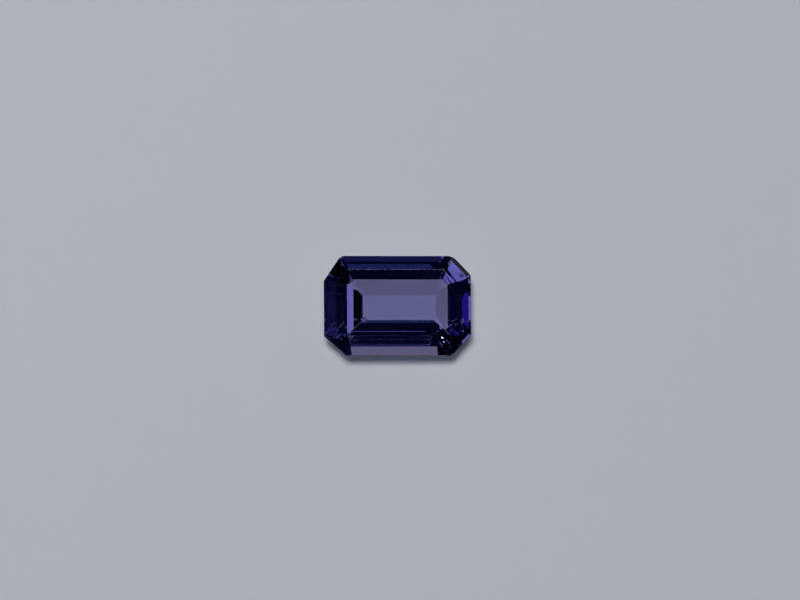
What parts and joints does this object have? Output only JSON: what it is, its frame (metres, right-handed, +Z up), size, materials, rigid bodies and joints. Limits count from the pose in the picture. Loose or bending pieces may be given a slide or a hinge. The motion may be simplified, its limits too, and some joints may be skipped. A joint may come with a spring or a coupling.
{
  "type": "faceted tanzanite gemstone",
  "caption": "Loose violet-blue tanzanite in an elongated octagonal step cut: flat table, stepped crown and pavilion, and a flat culet that it lies on.",
  "frame": {"origin": "on the plane of the culet, under the middle of the girdle's outline", "axes": "+X along the length of the stone, +Y across it towards its back, +Z up through the table"},
  "size_m": [0.0074, 0.005, 0.0024],
  "materials": {
    "tanzanite": "natural tanzanite, clear violet-blue, all facets polished"
  },
  "bodies": {
    "root": {"tanzanite": "tanzanite"}
  },
  "joints": []
}
